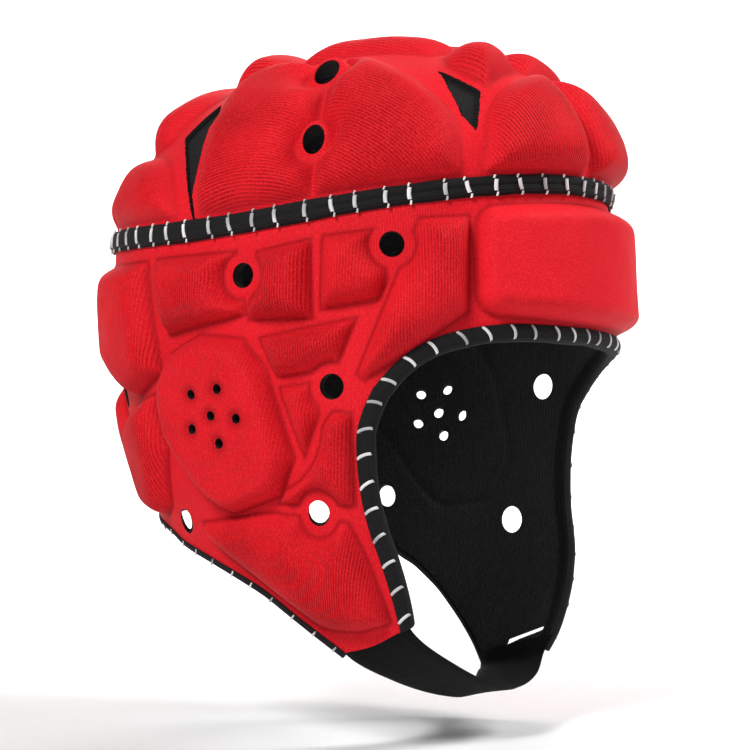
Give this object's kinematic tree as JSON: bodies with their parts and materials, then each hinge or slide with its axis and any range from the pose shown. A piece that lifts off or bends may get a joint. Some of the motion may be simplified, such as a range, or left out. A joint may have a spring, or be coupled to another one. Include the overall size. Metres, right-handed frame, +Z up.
{
  "type": "padded head guard",
  "caption": "Soft padded head guard with a headband tape, ear cups, vents and a chin strap, worn by a goalkeeper to cushion knocks.",
  "frame": {"origin": "the inside of the crown lining straight above the middle of the head opening, where the top of the head bears", "axes": "+Z up, -Y towards the face opening, -X towards the wearer's right ear"},
  "size_m": [0.1846, 0.2276, 0.2586],
  "materials": {
    "red_jersey": "ribbed satin jersey bonded to moulded foam",
    "black_lining": "fine matt knit",
    "black_tape": "elastic tape, stitched",
    "black_strap": "soft brushed webbing"
  },
  "bodies": {
    "root": {"crown_cover": "red_jersey", "side_cover": "red_jersey", "right_back_upper_pad": "red_jersey", "left_back_upper_pad": "red_jersey", "right_rear_upper_pad": "red_jersey", "left_rear_upper_pad": "red_jersey", "right_over_ear_pad": "red_jersey", "left_over_ear_pad": "red_jersey", "right_side_upper_pad": "red_jersey", "left_side_upper_pad": "red_jersey", "right_temple_upper_pad": "red_jersey", "left_temple_upper_pad": "red_jersey", "right_temple_pad": "red_jersey", "left_temple_pad": "red_jersey", "right_front_of_ear_pad": "red_jersey", "left_front_of_ear_pad": "red_jersey", "right_small_cheek_pad": "red_jersey", "left_small_cheek_pad": "red_jersey", "right_face_edge_pad": "red_jersey", "left_face_edge_pad": "red_jersey", "right_cheek_pad": "red_jersey", "left_cheek_pad": "red_jersey", "right_rear_lower_pad": "red_jersey", "left_rear_lower_pad": "red_jersey", "right_back_lower_pad": "red_jersey", "left_back_lower_pad": "red_jersey", "right_ear_cup": "red_jersey", "left_ear_cup": "red_jersey", "right_crown_rear_side_pad": "red_jersey", "left_crown_rear_side_pad": "red_jersey", "right_crown_front_side_pad": "red_jersey", "left_crown_front_side_pad": "red_jersey", "right_crown_top_front_pad": "red_jersey", "left_crown_top_front_pad": "red_jersey", "right_crown_top_rear_pad": "red_jersey", "left_crown_top_rear_pad": "red_jersey", "right_crown_front_upper_pad": "red_jersey", "left_crown_front_upper_pad": "red_jersey", "right_crown_front_lower_pad": "red_jersey", "left_crown_front_lower_pad": "red_jersey", "right_crown_back_upper_pad": "red_jersey", "left_crown_back_upper_pad": "red_jersey", "right_crown_back_side_pad": "red_jersey", "left_crown_back_side_pad": "red_jersey", "right_crown_back_lower_pad": "red_jersey", "left_crown_back_lower_pad": "red_jersey", "forehead_pad": "red_jersey", "crown_lining": "black_lining", "side_lining": "black_lining", "headband_tape": "black_tape", "face_binding": "black_tape", "neck_binding": "black_tape", "chin_strap": "black_strap"}
  },
  "joints": []
}
